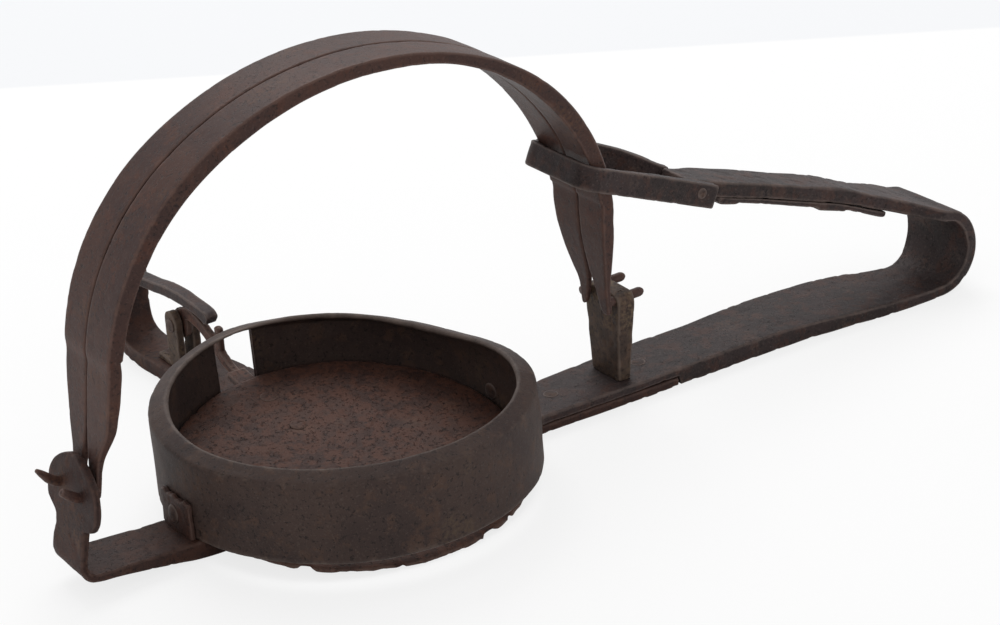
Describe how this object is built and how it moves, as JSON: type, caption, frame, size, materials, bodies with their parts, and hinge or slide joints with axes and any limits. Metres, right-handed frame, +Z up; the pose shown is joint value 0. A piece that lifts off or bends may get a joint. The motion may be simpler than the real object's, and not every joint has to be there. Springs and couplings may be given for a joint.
{
  "type": "single-spring animal trap",
  "caption": "Hand-forged leaf-spring trap: arched jaws in post pivots, an eye that shuts them, a pan inside a collar and a catch on a cross arm.",
  "frame": {"origin": "centre of the collar, in the plane that the trap stands on", "axes": "+X along the sole bar to the spring's bend, +Y along the cross arm to the catch, +Z up"},
  "size_m": [0.35, 0.2039, 0.1424],
  "materials": {
    "wrought_bar": "rusted and pitted wrought bar, dull",
    "spring_iron": "dark scaled spring steel with brown rust",
    "sheet_iron": "dark sheet with a worn rim and sandy pitting",
    "jaw_iron": "dark grey-brown, worn smoother along the edges",
    "pan_iron": "reddish brown, heavily pitted",
    "rivet_iron": "hammered rivet heads, dull"
  },
  "bodies": {
    "base": {"sole_bar": "wrought_bar", "rear_post": "wrought_bar", "spring_lower_leg": "spring_iron", "spring_bend": "spring_iron", "lap_rivets": "rivet_iron", "cross_arm": "wrought_bar", "cross_arm_rivets": "rivet_iron", "collar": "sheet_iron", "collar_lug_left": "wrought_bar", "collar_lug_right": "wrought_bar", "collar_rivets": "rivet_iron", "pan_bracket": "wrought_bar", "bracket_rivets": "rivet_iron", "pan_pivot_pin": "rivet_iron", "catch_pin": "rivet_iron"},
    "spring_arm": {"spring_upper_arm": "spring_iron", "spring_eye": "spring_iron", "eye_rivet": "rivet_iron", "spring_under_leaf": "spring_iron", "leaf_rivets": "rivet_iron"},
    "near_jaw": {"near_jaw": "jaw_iron"},
    "far_jaw": {"far_jaw": "jaw_iron"},
    "pan": {"pan_plate": "pan_iron", "pan_arm": "pan_iron", "pan_rivets": "rivet_iron"},
    "catch": {"catch": "jaw_iron"}
  },
  "joints": [
    {"name": "spring_squeeze", "type": "hinge", "parent": "base", "child": "spring_arm", "pos_m": [0.2325, 0, 0.0165], "axis": [0, -1, 0], "range_deg": [0, 24], "stiffness_Nm_per_rad": 40, "springref_deg": -17.19, "deforming": ["spring_bend", "spring_eye"]},
    {"name": "near_jaw_open", "type": "hinge", "parent": "base", "child": "near_jaw", "pos_m": [0, -0.0068, 0.03399], "axis": [0.9998, 0, 0.0191], "range_deg": [0, 90]},
    {"name": "far_jaw_open", "type": "hinge", "parent": "base", "child": "far_jaw", "pos_m": [0, 0.0068, 0.03399], "axis": [-0.9998, 0, -0.0191], "range_deg": [0, 90]},
    {"name": "catch_swing", "type": "hinge", "parent": "base", "child": "catch", "pos_m": [-0.004, 0.1405, 0.03], "axis": [-1, 0, 0], "range_deg": [0, 120.5]},
    {"name": "pan_tilt", "type": "hinge", "parent": "base", "child": "pan", "pos_m": [-0.004, 0.101, 0.023], "axis": [-1, 0, 0], "range_deg": [0, 7]}
  ],
  "couplings": [
    {"joint": "near_jaw_open", "follows": "spring_squeeze", "ratio": 3.74},
    {"joint": "far_jaw_open", "follows": "spring_squeeze", "ratio": 3.74},
    {"joint": "catch_swing", "follows": "spring_squeeze", "ratio": 5}
  ]
}
